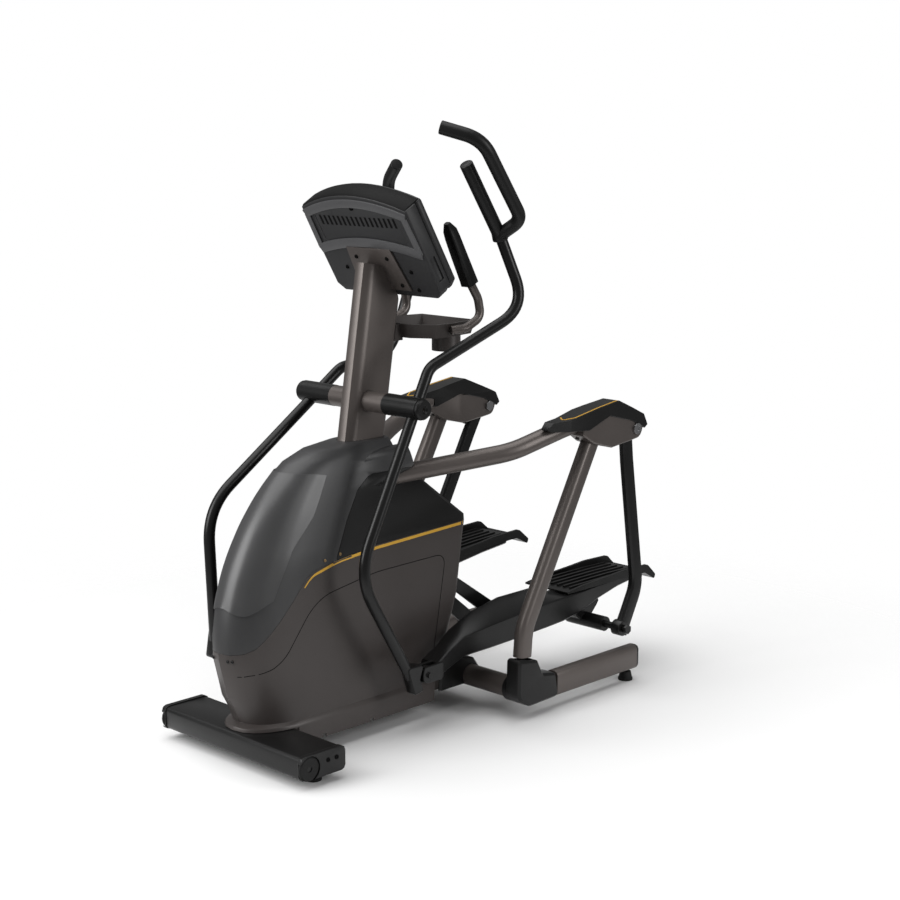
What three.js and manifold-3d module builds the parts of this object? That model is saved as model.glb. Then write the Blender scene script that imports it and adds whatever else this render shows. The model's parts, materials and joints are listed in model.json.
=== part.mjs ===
// An elliptical trainer, in millimetres.
// +X is the user's left, +Y is the rear, +Z is up and the floor is z = 0.
// The left side stands at the rear end of its stride and the right side at the front end.
import * as THREE from "three";
import { mergeVertices } from "three/addons/utils/BufferGeometryUtils.js";
import Module from "manifold-3d";

const wasm = await Module();
wasm.setup();

// Driving dimensions.
const GAP = 0.3;
const MERGE = 0.2; // faces flatter than this are joined
const Y_MID = 110.4; // the middle of the length, moved to y = 0 at the end
const STRIDE_DEG = 28.5; // swing of one handlebar
const LINK_RATIO = 1.26; // suspension link swing per handlebar swing
const ARM_RATIO = -0.124; // pedal arm pitch per handlebar swing
const BAR_PIVOT = [-178, 945];
const BAR_LOW = [-138, 179];
const LINK_PIVOT = [623, 805];
const LINK_LOW = [612, 177];
const SIDE_X = 304; // centre plane of each side frame
const BAR_X = 205; // centre plane of each lower handlebar
const BAR_R = 16;
const BOOM_R = 26.5;
const GRIP_R = 19;
const HUB_R = 30;
const CRANK_AXLE = [-95, 300];
const FLYWHEEL_AXLE = [-470, 300];
const PULLEY_R = 118;
const SMALL_PULLEY_R = 24;
const ROCKER_PIVOT = [75, 400];
const ROCKER_LOW = [335, 183];
const ROCKER_RATIO = 0.175;
const CONSOLE_HALF = 212;

const MATERIALS = {
  frame: { color: 0x55504e, roughness: 0.42, metalness: 0.6 },
  shroud: { color: 0x3c3d3f, roughness: 0.35, metalness: 0.3 },
  black: { color: 0x17181a, roughness: 0.45, metalness: 0.2 },
  plastic: { color: 0x26272a, roughness: 0.6, metalness: 0 },
  console: { color: 0x3a3b3d, roughness: 0.55, metalness: 0.1 },
  rubber: { color: 0x141414, roughness: 0.85, metalness: 0 },
  chrome: { color: 0xc8c8ca, roughness: 0.15, metalness: 1 },
  cast: { color: 0x4a4b4e, roughness: 0.5, metalness: 0.8 },
  glass: { color: 0x0a0c10, roughness: 0.1, metalness: 0 },
};

const frame = new THREE.Group();
frame.name = "elliptical_trainer";
frame.position.y = -Y_MID;

// ---- solids ----

function manifoldOf(points, faces) {
  const mesh = (list) =>
    new wasm.Manifold(
      new wasm.Mesh({
        numProp: 3,
        vertProperties: new Float32Array(points.flat()),
        triVerts: new Uint32Array(list),
      }),
    );
  const made = mesh(faces);
  if (made.volume() > 0) return made;
  const turned = [];
  for (let i = 0; i < faces.length; i += 3) turned.push(faces[i], faces[i + 2], faces[i + 1]);
  return mesh(turned);
}

function solidOf(geometry) {
  geometry.deleteAttribute("normal");
  geometry.deleteAttribute("uv");
  const merged = mergeVertices(geometry.index ? geometry.toNonIndexed() : geometry, 1e-3);
  const flat = merged.attributes.position.array;
  const points = [];
  for (let i = 0; i < flat.length; i += 3) points.push([flat[i], flat[i + 1], flat[i + 2]]);
  return manifoldOf(points, Array.from(merged.index.array));
}

// A closed solid through a row of rings of equal length, with a fan over each end.
function loft(rings) {
  const n = rings[0].length;
  const points = rings.flat();
  const faces = [];
  for (let i = 0; i + 1 < rings.length; i++) {
    for (let j = 0; j < n; j++) {
      const a = i * n + j;
      const b = i * n + ((j + 1) % n);
      faces.push(a, b, b + n, a, b + n, a + n);
    }
  }
  for (const [ring, flip] of [
    [0, true],
    [rings.length - 1, false],
  ]) {
    const centre = points.length;
    points.push([0, 1, 2].map((k) => rings[ring].reduce((sum, p) => sum + p[k], 0) / n));
    for (let j = 0; j < n; j++) {
      const a = ring * n + j;
      const b = ring * n + ((j + 1) % n);
      faces.push(centre, flip ? b : a, flip ? a : b);
    }
  }
  return manifoldOf(points, faces);
}

const round = (r, n = 12) =>
  Array.from({ length: n }, (_, i) => {
    const a = (2 * Math.PI * (i + 0.5)) / n;
    return [r * Math.cos(a), r * Math.sin(a)];
  });

// A rounded rectangle, w along the first axis and h along the second.
function boxy(w, h, r, k = 3) {
  const out = [];
  for (const [sx, sy, from] of [
    [1, 1, 0],
    [-1, 1, 90],
    [-1, -1, 180],
    [1, -1, 270],
  ]) {
    for (let i = 0; i < k; i++) {
      const a = THREE.MathUtils.degToRad(from + (90 * i) / (k - 1));
      out.push([sx * (w / 2 - r) + r * Math.cos(a), sy * (h / 2 - r) + r * Math.sin(a)]);
    }
  }
  return out;
}

// A line of straight runs with rounded corners.
// Each point may carry its own corner radius as a fourth number.
function bent(points, radius, steps = 5) {
  const v = points.map((p) => new THREE.Vector3(p[0], p[1], p[2]));
  const out = [v[0]];
  for (let i = 1; i + 1 < v.length; i++) {
    const a = v[i - 1].clone().sub(v[i]);
    const b = v[i + 1].clone().sub(v[i]);
    const half = a.angleTo(b) / 2;
    const r = points[i][3] ?? radius;
    const cut = Math.min(r / Math.tan(half), 0.49 * a.length(), 0.49 * b.length());
    const start = v[i].clone().addScaledVector(a.normalize(), cut);
    const end = v[i].clone().addScaledVector(b.normalize(), cut);
    for (let s = 0; s <= steps; s++) {
      const t = s / steps;
      const w = [(1 - t) ** 2, 2 * t * (1 - t), t * t];
      out.push(
        new THREE.Vector3()
          .addScaledVector(start, w[0])
          .addScaledVector(v[i], w[1])
          .addScaledVector(end, w[2]),
      );
    }
  }
  out.push(v[v.length - 1]);
  return out.filter((p, i) => !i || p.distanceTo(out[i - 1]) > 0.01);
}

// Sweeps an outline along a path.
// across is the outline's first axis at the start, carried along without twist.
function sweep(path, outline, across = new THREE.Vector3(1, 0, 0)) {
  let u = across.clone();
  const rings = path.map((p, i) => {
    const t = path[Math.min(i + 1, path.length - 1)].clone().sub(path[Math.max(i - 1, 0)]).normalize();
    u = u.clone().addScaledVector(t, -u.dot(t)).normalize();
    const v = new THREE.Vector3().crossVectors(t, u);
    const flat = typeof outline === "function" ? outline(i / (path.length - 1)) : outline;
    return flat.map(([a, b]) => p.clone().addScaledVector(u, a).addScaledVector(v, b).toArray());
  });
  return loft(rings);
}

const tube = (points, r, radius, n = 12, steps = 4) => sweep(bent(points, radius, steps), round(r, n));

// A closed outline with rounded corners; a point may carry its own corner radius as a third number.
function rounded(points, corner, steps = 3) {
  const v = points.map((p) => new THREE.Vector2(p[0], p[1]));
  const out = [];
  v.forEach((p, i) => {
    const a = v[(i + v.length - 1) % v.length].clone().sub(p);
    const b = v[(i + 1) % v.length].clone().sub(p);
    const r = points[i][2] ?? corner;
    const cut = Math.min(r / Math.tan(a.angleTo(b) / 2), 0.45 * a.length(), 0.45 * b.length());
    const start = p.clone().addScaledVector(a.normalize(), cut);
    const end = p.clone().addScaledVector(b.normalize(), cut);
    for (let s = 0; s <= steps; s++) {
      const t = s / steps;
      const at = start.clone().multiplyScalar((1 - t) ** 2);
      at.addScaledVector(p, 2 * t * (1 - t)).addScaledVector(end, t * t);
      if (!out.length || at.distanceTo(out[out.length - 1]) > 0.3) out.push(at);
    }
  });
  if (out[0].distanceTo(out[out.length - 1]) < 0.3) out.pop();
  return out;
}

// A rounded shape in the YZ plane between two x values, with bevelled edges.
function plate(points, x0, x1, corner = 6, bevel = 0) {
  const geometry = new THREE.ExtrudeGeometry(new THREE.Shape(rounded(points, corner)), {
    depth: x1 - x0 - 2 * bevel,
    bevelEnabled: bevel > 0,
    bevelSize: bevel,
    bevelThickness: bevel,
    bevelOffset: -bevel,
    bevelSegments: 1,
  });
  geometry.applyMatrix4(
    new THREE.Matrix4().makeBasis(
      new THREE.Vector3(0, 1, 0),
      new THREE.Vector3(0, 0, 1),
      new THREE.Vector3(1, 0, 0),
    ),
  );
  geometry.translate(x0 + bevel, 0, 0);
  return solidOf(geometry);
}

function block(x0, x1, y0, y1, z0, z1) {
  const geometry = new THREE.BoxGeometry(x1 - x0, y1 - y0, z1 - z0);
  geometry.translate((x0 + x1) / 2, (y0 + y1) / 2, (z0 + z1) / 2);
  return solidOf(geometry);
}

// A cylinder along X.
const pin = (y, z, x0, x1, r, n = 16) =>
  sweep([new THREE.Vector3(x0, y, z), new THREE.Vector3(x1, y, z)], round(r, n), new THREE.Vector3(0, 1, 0));

// A cylinder along Z.
const post = (x, y, z0, z1, r, n = 16) =>
  sweep([new THREE.Vector3(x, y, z0), new THREE.Vector3(x, y, z1)], round(r, n));

// A turned piece: (radius, height) pairs about X, at x0.
function turned(profile, y, z, x0, n = 20) {
  const geometry = new THREE.LatheGeometry(
    profile.map(([r, h]) => new THREE.Vector2(r, h)),
    n,
  );
  geometry.rotateZ(-Math.PI / 2);
  geometry.translate(x0, y, z);
  return solidOf(geometry);
}

const mirrored = (solid) => solid.mirror([1, 0, 0]);

// The largest body of a cut solid, without the slivers the cut left.
const biggest = (solid) => solid.decompose().sort((a, b) => b.volume() - a.volume())[0];

// Turns a solid about an axis along X through (y, z).
function swung(solid, [y, z], degrees) {
  return solid.translate([0, -y, -z]).rotate([degrees, 0, 0]).translate([0, y, z]);
}

function add(name, solid, look) {
  const mesh = solid.simplify(MERGE).getMesh();
  const geometry = new THREE.BufferGeometry();
  const points = new Float32Array(mesh.numVert * 3);
  for (let i = 0; i < mesh.numVert; i++) {
    points.set(mesh.vertProperties.subarray(i * mesh.numProp, i * mesh.numProp + 3), i * 3);
  }
  geometry.setAttribute("position", new THREE.BufferAttribute(points, 3));
  geometry.setIndex(new THREE.BufferAttribute(mesh.triVerts, 1));
  geometry.computeVertexNormals();
  const made = new THREE.Mesh(geometry, new THREE.MeshStandardMaterial(MATERIALS[look]));
  made.name = name;
  frame.add(made);
}

// Adds a left piece and its mirror image.
function addPair(name, solid, look) {
  add(`${name}_left`, solid, look);
  add(`${name}_right`, mirrored(solid), look);
}

// ---- base ----

const spine = sweep(
  bent([[0, -525, 64], [0, 131, 64]], 0),
  boxy(80, 52, 8),
);
// The drive tower stands on the spine: two plates that carry the crank, flywheel and rocker axles.
const towerOutline = [
  [-520, 80],
  [-522, 330],
  [-470, 345],
  [-300, 345],
  [-95, 350],
  [45, 425],
  [95, 425],
  [95, 375],
  [-20, 240],
  [-20, 80],
];
const towerPlate = (x0, x1) =>
  plate(towerOutline, x0, x1, 12)
    .subtract(pin(...CRANK_AXLE, x0 - 1, x1 + 1, 12.4))
    .subtract(pin(...FLYWHEEL_AXLE, x0 - 1, x1 + 1, 8.4));
const rockerAxle = pin(...ROCKER_PIVOT, -84, 84, 9);
add("main_spine", spine.add(towerPlate(24, 29)).add(towerPlate(-29, -24)).add(rockerAxle), "frame");

const crossbarY = -601;
const crossbar = sweep(
  bent([[-284, crossbarY, 61], [284, crossbarY, 61]], 0),
  boxy(150, 64, 12),
  new THREE.Vector3(0, 1, 0),
);
add("front_crossbar", crossbar, "black");

const wheelY = -648;
const wheelZ = 58;
const crossbarCap = sweep(
  bent([[284.3, crossbarY, 61], [300, crossbarY, 61]], 0),
  boxy(154, 68, 14),
  new THREE.Vector3(0, 1, 0),
)
  .subtract(pin(wheelY, wheelZ, 288.3, 301, 35.5))
  .add(pin(wheelY, wheelZ, 284.4, 297, 7.9));
addPair("crossbar_cap", crossbarCap, "plastic");
addPair(
  "transport_wheel",
  turned([[8, 0], [30, 0], [34, 3], [34, 7], [30, 10], [8, 10], [8, 0]], wheelY, wheelZ, 288.8),
  "rubber",
);

// A levelling foot: a pad, a stem and a lock nut.
const foot = (x, y, top) =>
  sweep(
    [0, 7, 9, top - 10].map((z) => new THREE.Vector3(x, y, z)),
    (t) => round(t < 0.5 ? 23 : 23 - 12 * (t - 0.5), 12),
  )
    .add(post(x, y, 8, top, 6, 12))
    .add(post(x, y, top - 9, top, 11, 6));
addPair("front_foot", foot(245, -590, 28.6), "rubber");
addPair("rear_foot", foot(SIDE_X - 3, 652, 37.6), "rubber");

add("rear_cross_tube", pin(165, 82, -274.6, 274.6, 32.5, 24), "frame");

const boss = plate(
  [[112, 188], [194, 174], [218, 128], [274, 118], [288, 44], [160, 40, 30], [110, 70, 30]],
  289,
  345,
  12,
  7,
)
  .add(pin(165, 82, 262, 300, 39, 24))
  .subtract(pin(165, 82, 200, 283, 32.9, 24))
  .subtract(sweep(bent([[SIDE_X + 10, 156, 160], [SIDE_X + 10, 156, 200]], 0), boxy(40.6, 62.6, 15, 4)));
const baseTube = sweep(
  bent([[SIDE_X + 9, 292, 76], [SIDE_X + 9, 668, 76]], 0),
  boxy(42, 76, 12),
);
addPair("corner_boss", boss, "black");
addPair("base_tube", baseTube, "frame");
addPair(
  "base_cap",
  sweep(bent([[SIDE_X + 9, 668.3, 76], [SIDE_X + 9, 678, 76]], 0), (t) => boxy(42 - 5 * t, 76 - 5 * t, 12)),
  "plastic",
);

// ---- side frames ----

const uprightPath = bent(
  [[SIDE_X + 10, 156, 187.5], [SIDE_X + 10, 163, 270, 160], [SIDE_X + 10, 466, 818]],
  160,
);
addPair("upright", sweep(uprightPath, boxy(40, 55, 15, 4)), "frame");
// The bracket's socket runs a little past the upright's top end.
const uprightRoom = new THREE.Vector3(SIDE_X + 10, 466.4, 818.8);

const boomPath = bent(
  [[48, -196, 729], [80, -140, 733], [258, 168, 783, 300], [SIDE_X, 340, 836, 120], [SIDE_X, 392, 842]],
  90,
  5,
);
const planPrism = (outline, z0, z1) => loft([z0, z1].map((z) => outline.map(([x, y]) => [x, y, z])));
const bracketOutline = [
  [380, 812], [386, 862], [450, 877], [536, 889], [596, 862], [648, 836, 20], [660, 804, 25],
  [646, 776, 25], [600, 770], [512, 760], [430, 783],
];
const bracketPlan = (edge) => [
  [290 - edge, 370], [347 + edge, 370], [347 + edge, 700], [264 - edge, 700], [264 - edge, 500],
];
// The inner top edge slopes.
const slopeOutline = [[200, 852], [262, 852], [290, 905], [200, 905]];
const innerSlope = (shift) =>
  loft([100, 800].map((y) => slopeOutline.map(([x, z]) => [x + shift, y, z])));
const bracketBody = plate(bracketOutline, 264, 347, 8, 4)
  .intersect(planPrism(bracketPlan(0), 700, 1000))
  .subtract(innerSlope(5));
const linkSlot = block(SIDE_X - 25.5, SIDE_X + 25.5, 560, 700, 700, 852).add(
  block(SIDE_X - 25.5, SIDE_X + 25.5, 505, 700, 700, 800),
);
const bracket = bracketBody
  .subtract(linkSlot)
  .subtract(pin(...LINK_PIVOT, 250, 360, 11.2))
  .subtract(sweep([...uprightPath.slice(0, -1), uprightRoom], boxy(40.8, 55.8, 15, 4)));
const boomSolid = sweep(boomPath, round(BOOM_R, 14));
const weldment = bracket
  .add(boomSolid.subtract(block(200, 400, 388, 700, 600, 1000)))
  .subtract(block(-100, 31.6, -600, 100, 600, 900));
addPair("boom_bracket", weldment, "frame");

// A pressed cover caps the bracket: pointed in front, with a skirt down its outer side.
const coverOutline = [
  [246, 842, 4], [266, 862], [320, 866], [450, 888], [538, 900], [602, 872], [658, 846], [676, 812, 4],
  [662, 802, 3], [600, 832], [496, 858], [403, 826], [330, 832], [262, 836, 4],
];
const coverPlan = [[298, 244], [322, 244], [351, 322], [351, 690], [261, 690], [261, 520], [290, 314]];
const bracketRoom = plate(bracketOutline, 263.6, 347.4, 8)
  .intersect(planPrism(bracketPlan(0.4), 700, 1000))
  .subtract(innerSlope(4.5));
const bracketClear = bracketRoom
  .add(bracketRoom.translate([0, 0.4, 0.4]))
  .add(bracketRoom.translate([0, -0.5, 0.2]))
  .add(bracketRoom.translate([0, 0, -30]))
  .add(pin(...LINK_PIVOT, 250, 360, 18));
const bracketCover = plate(coverOutline, 261, 351, 5, 2)
  .intersect(planPrism(coverPlan, 700, 1000))
  .subtract(innerSlope(0))
  .subtract(bracketClear)
  .subtract(sweep(boomPath, round(BOOM_R + 0.6, 14)));
addPair("bracket_cover", biggest(bracketCover), "black");

const pivotBolt = pin(...LINK_PIVOT, 258, 354, 10.8)
  .add(pin(...LINK_PIVOT, 347.4, 355, 17, 24))
  .add(pin(...LINK_PIVOT, 255, 263.6, 17, 6))
  .subtract(pin(...LINK_PIVOT, 353, 358, 8, 6));
addPair("pivot_bolt", pivotBolt, "chrome");

// The console is built flat, across X, up V and outwards W with its back on W = 0, then tipped back.
const CONSOLE_TIP = -59.1;
const CONSOLE_AT = [-138, 1358];
const tipped = (solid) =>
  solid.rotate([0, 0, 180]).rotate([CONSOLE_TIP, 0, 0]).translate([0, ...CONSOLE_AT]);
function slab(outline, w0, w1, bevel = 0) {
  const shape = new THREE.Shape(outline.map(([x, v]) => new THREE.Vector2(x, v)));
  const geometry = new THREE.ExtrudeGeometry(shape, {
    depth: w1 - w0 - 2 * bevel,
    bevelEnabled: bevel > 0,
    bevelSize: bevel,
    bevelThickness: bevel,
    bevelOffset: -bevel,
    bevelSegments: 2,
  });
  geometry.translate(0, 0, w0 + bevel);
  return solidOf(geometry);
}
const rect = (x0, x1, v0, v1) => [[x0, v0], [x1, v0], [x1, v1], [x0, v1]];
// ---- mast ----

const mastPath = [
  new THREE.Vector3(0, -304, 320),
  new THREE.Vector3(0, -190, 817),
  new THREE.Vector3(0, -110, 1319),
];
const mastOutline = () => {
  const half = [[0, -74], [16, -70], [27, -58], [31, -40], [31, 60], [26, 68], [0, 70]];
  return [...half, ...half.slice(1, -1).reverse().map(([x, y]) => [-x, y])];
};
// The mast straddles the belt on two foot plates and ends in the plate that carries the console.
const mastFootOutline = [[-345, 90.4], [-345, 440], [-262, 440], [-228, 380], [-228, 90.4]];
const mastFoot = plate(mastFootOutline, 17.6, 23.4, 3);
const mast = sweep(mastPath, mastOutline())
  .subtract(block(-100, 100, -500, 300, 200, 400))
  .add(mastFoot)
  .add(mirrored(mastFoot))
  .subtract(tipped(slab(rect(-200, 200, -300, 300), -0.4, 300)))
  .add(tipped(slab([[-88, 14], [-104, -122], [104, -122], [88, 14]], -6.4, -0.4, 1)))
  .subtract(pin(...BAR_PIVOT, -200, 200, HUB_R + GAP, 28));
add("mast", mast, "frame");

// The pivot tube runs right through the mast.
const pivotTube = pin(...BAR_PIVOT, -108.8, 108.8, HUB_R, 28)
  .add(pin(...BAR_PIVOT, -248, 248, 12))
  .subtract(pin(...BAR_PIVOT, 243, 250, 5, 6));
add("pivot_cross_tube", pivotTube, "frame");

// ---- housing ----

// One level of the housing: rounded nose, straight sides and a squared rear.
function housingRing(z, front, rear, half, nose, inset = 0) {
  const w = half - inset;
  const y0 = front + inset;
  const y1 = rear - inset;
  const side = [];
  for (let k = 0; k <= 6; k++) {
    const a = (Math.PI / 2) * (k / 6);
    side.push([w * Math.sin(a) ** 0.85, y0 + nose * (1 - Math.cos(a) ** 0.85)]);
  }
  side.push([w, y1 - 22], [w - 7, y1 - 7], [w - 22, y1]);
  const far = side.slice(1).reverse().map(([x, y]) => [-x, y]);
  return [...side, ...far].map(([x, y]) => [x, y, z]);
}

// z, front y, rear y, half width, nose depth
const HOUSING = [
  [46, -664, 6, 116, 200],
  [96, -664, 12, 115, 200],
  [104, -661, 16, 113, 200],
  [112, -640, 22, 107, 195],
  [150, -655, 36, 106, 210],
  [190, -677, 52, 106, 220],
  [300, -704, 92, 107, 230],
  [350, -705, 108, 107, 235],
  [446, -692, 122, 107, 240],
  [520, -668, 134, 106, 240],
  [563, -649, 143, 105, 240],
  [582, -640, 143, 103, 240],
  [645, -605, 62, 97, 230],
  [705, -560, -14, 90, 210],
  [760, -508, -70, 82, 190],
  [800, -455, -104, 74, 160],
  [826, -390, -112, 64, 140],
  [838, -300, -114, 54, 100],
];
const housingOuter = loft(HOUSING.map((row) => housingRing(...row)));
const housingInner = loft(
  HOUSING.map(([z, ...row], i) =>
    housingRing(i ? Math.min(z, 833.5) - (i === HOUSING.length - 1 ? 0 : 4.5) : 30, ...row, 3.5),
  ),
);
// Two hoods at the top rear cover the roots of the boom tubes.
const hood = (side) => {
  const made = sweep(
    [new THREE.Vector3(30, -235, 742), new THREE.Vector3(72, -165, 768), new THREE.Vector3(108, -100, 790)],
    (t) => boxy(96 - 14 * t, 112 - 40 * t, 30, 5),
    new THREE.Vector3(0.83, -0.5, 0),
  );
  return side > 0 ? made : mirrored(made);
};
const boomClear = sweep(boomPath, round(BOOM_R + 2.5, 14));
const hoodClear = sweep(
  [new THREE.Vector3(20, -250, 738), new THREE.Vector3(72, -165, 764), new THREE.Vector3(112, -93, 786)],
  (t) => boxy(88 - 14 * t, 104 - 40 * t, 26, 5),
  new THREE.Vector3(0.83, -0.5, 0),
);
let shell = housingOuter
  .add(hood(1))
  .add(hood(-1))
  .subtract(housingInner)
  .subtract(hoodClear)
  .subtract(mirrored(hoodClear))
  .subtract(boomClear)
  .subtract(mirrored(boomClear))
  .subtract(sweep(mastPath, mastOutline().map(([x, y]) => [x * 1.06, y * 1.03])))
  .subtract(block(-290, 290, -678, -523, 20, 94.5))
  .subtract(block(-46, 46, -60, 60, 20, 96))
  .subtract(block(-140, 140, -800, 200, 20, 42))
  .subtract(block(-140, 140, -440, -428, 20, 54))
  .subtract(block(-140, 140, -262, -250, 20, 54));

// Slot in the rear wall where the drive rockers swing.
shell = shell.subtract(block(-92, 92, 20, 200, 120, 440));

// The seam between shroud and side covers: level round the nose, then up in an S to the gold line.
const seam = [[-760, 318], [-652, 320, 110], [-568, 402, 260], [-468, 519, 110], [-228, 551, 300], [200, 568]];
const closing = (list, shift, end) => [
  ...list.map(([y, z, corner = 1]) => [y, z + shift, corner]),
  [200, end, 1],
  [-760, end, 1],
];
const lowerShell = shell.intersect(plate(closing(seam, -0.5, 20), -200, 200, 1));
const upperShell = shell.intersect(plate(closing(seam, 0.5, 1000), -200, 200, 1));
const split = [[-372, 500], [-372, 543], [-327, 637], [-277, 714], [-224, 752], [-150, 762], [-105, 766]];
const rearRegion = (shift) => [
  ...split.map(([y, z]) => [y + shift, z - shift, 1]),
  [240, 766 - shift, 1],
  [240, 500, 1],
];
add("side_cover_left", lowerShell.intersect(block(0.3, 200, -800, 300, 0, 900)), "frame");
add("side_cover_right", lowerShell.intersect(block(-200, -0.3, -800, 300, 0, 900)), "frame");
const shroud = upperShell.subtract(plate(rearRegion(-0.5), -200, 200, 1));
add("front_shroud", biggest(shroud.simplify(MERGE)), "shroud");
const rearTop = upperShell.intersect(plate(rearRegion(0.5), -200, 200, 1));
add("rear_top_cover", biggest(rearTop.simplify(MERGE)), "black");

// Low cover over the rear end of the spine and the middle of the rear cross tube.
const rearCover = plate([[34, 46], [40, 114], [118, 150], [182, 132], [212, 92], [198, 46]], -98, 98, 14, 6)
  .subtract(plate([[20, 20], [20, 108], [116, 143], [178, 126], [205, 92], [190, 20]], -90, 90, 10))
  .subtract(pin(165, 82, -110, 110, 33.2))
  .subtract(block(-120, 120, 0, 300, 20, 60));
add("rear_low_cover", biggest(rearCover), "plastic");

// ---- drive, inside the housing ----

const pulley = turned(
  [
    [10, -9], [30, -9], [30, -4], [106, -4], [106, -8], [PULLEY_R, -8],
    [PULLEY_R, 8], [106, 8], [106, 4], [30, 4], [30, 9], [10, 9], [10, -9],
  ],
  ...CRANK_AXLE,
  0,
  28,
);
const crankArm = (x0, x1, turn) =>
  swung(
    plate([[-117, 276], [-117, 324], [40, 318], [40, 282]], x0, x1, 16).add(pin(26, 300, x0 - 4, x1 + 4, 10)),
    CRANK_AXLE,
    turn,
  );
const crank = pulley
  .add(pin(...CRANK_AXLE, -62, 62, 12))
  .add(crankArm(46, 60, -20))
  .add(crankArm(-60, -46, 160));
add("crank_pulley", crank, "cast");

const flywheel = turned(
  [
    [0, -40], [8, -40], [8, -9], [SMALL_PULLEY_R, -9], [SMALL_PULLEY_R, 9], [8, 9], [8, 34],
    [30, 34], [30, 44], [96, 44], [96, 36], [122, 36], [122, 58], [96, 58], [96, 50], [30, 50],
    [30, 60], [0, 60],
  ],
  ...FLYWHEEL_AXLE,
  0,
  28,
);
add("flywheel", flywheel, "cast");

// The belt wraps both pulleys: two arcs and two straight runs.
function beltRing(x, gap) {
  const [y1, z1] = CRANK_AXLE;
  const [y2, z2] = FLYWHEEL_AXLE;
  const facing = Math.atan2(z2 - z1, y2 - y1);
  const open = Math.acos((PULLEY_R - SMALL_PULLEY_R) / Math.hypot(y2 - y1, z2 - z1));
  const arc = (y, z, r, from, to, n) =>
    Array.from({ length: n }, (_, i) => {
      const a = from + ((to - from) * i) / (n - 1);
      return [x, y + (r + gap) * Math.cos(a), z + (r + gap) * Math.sin(a)];
    });
  return [
    ...arc(y1, z1, PULLEY_R + 1.2, facing + open, facing - open + 2 * Math.PI, 26),
    ...arc(y2, z2, SMALL_PULLEY_R + 1.2, facing - open, facing + open, 10),
  ];
}
const belt = loft([beltRing(-7, 2.8), beltRing(7, 2.8)]).subtract(loft([beltRing(-8, 0), beltRing(8, 0)]));
add("drive_belt", belt, "rubber");

// ---- console, tray and fixed grips ----

// An outline with an arched top edge and clipped lower corners.
function arch(half, top, rise, bottom, n = 12) {
  const line = Array.from({ length: n + 1 }, (_, i) => {
    const x = half - (2 * half * i) / n;
    return [x, top + rise * (1 - (x / half) ** 2)];
  });
  return [[half, bottom + 24], ...line, [-half, bottom + 24], [-half + 24, bottom], [half - 24, bottom]];
}
let shellBack = slab(arch(CONSOLE_HALF, 138, 44, -146), 0, 46, 6)
  .subtract(slab(arch(CONSOLE_HALF - 8, 130, 44, -138), 5, 60))
  .subtract(slab(arch(168, 112, 36, 12), -1, 1.5));
for (let i = -8; i <= 8; i++) {
  shellBack = shellBack.subtract(slab(rect(i * 18.5 - 3, i * 18.5 + 3, 84, 112), -2, 8));
}
shellBack = shellBack.subtract(slab(rect(-CONSOLE_HALF - 6, -CONSOLE_HALF + 6, -96, -22), 12, 32));
add("console_shell", tipped(shellBack), "console");
const face = slab(arch(CONSOLE_HALF, 138, 44, -146), 46.4, 72, 8)
  .subtract(slab(rect(-165, 165, -62, 122), 69, 80))
  .subtract(slab(rect(-36, 36, -124, -84), 62, 80));
add("console_face", tipped(face), "plastic");
add("console_screen", tipped(slab(rect(-164, 164, -61, 121), 69.4, 71.4)), "glass");
add("start_key", tipped(slab(rect(-34, 34, -122, -86), 65.4, 73.4, 1.5)), "rubber");
const mastTop = sweep(mastPath, mastOutline().map(([x, y]) => [x * 1.02, y * 1.01]));

// The tray hangs behind the mast, with a cup pocket under its left half.
const TRAY_Y = 60;
const TRAY = [
  [-60, -52], [60, -52], [128, -8], [128, 60], [108, 168], [-108, 168], [-128, 60], [-128, -8],
];
const grown = (share) => TRAY.map(([x, y]) => [x * share, TRAY_Y + (y - TRAY_Y) * share]);
const tapered = (low, high, z0, z1) =>
  loft([grown(low).map(([x, y]) => [x, y, z0]), grown(high).map(([x, y]) => [x, y, z1])]);
const tray = tapered(0.93, 1.02, 1112, 1152)
  .subtract(tapered(0.86, 0.965, 1118, 1153))
  .add(post(62, 98, 1066, 1119, 42, 24))
  .subtract(post(62, 98, 1071, 1160, 38, 24))
  .add(block(-27, 27, -110, -42, 1104, 1150))
  .subtract(mastTop);
add("accessory_tray", tray, "frame");

const gripLine = [
  [120, 20, 1130],
  [150, 86, 1136, 46],
  [150, 150, 1164, 46],
  [150, 138, 1218, 60],
  [150, 88, 1290],
  [150, 30, 1396],
];
const gripBar = tube(gripLine, 12.5, 46);
const gripCover = sweep(
  [[104, 1262], [96, 1278], [62, 1342], [34, 1396], [24, 1416], [12, 1436]].map(
    ([y, z]) => new THREE.Vector3(150, y, z),
  ),
  (t) => (t > 0.95 ? boxy(18, 14, 4, 4) : boxy(42 - 14 * t * t, 38 - 8 * t, 7, 4)),
);
const gripClear = tube([...gripLine.slice(0, -1), [150, 29.8, 1396.4]], 12.9, 46);
addPair("fixed_grip_tube", gripBar.subtract(block(-200, 131.5, -200, 300, 900, 1300)), "frame");
addPair("fixed_grip", gripCover.subtract(gripClear), "rubber");

// ---- moving linkage, drawn for the left side at the rear end of its stride ----

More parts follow.
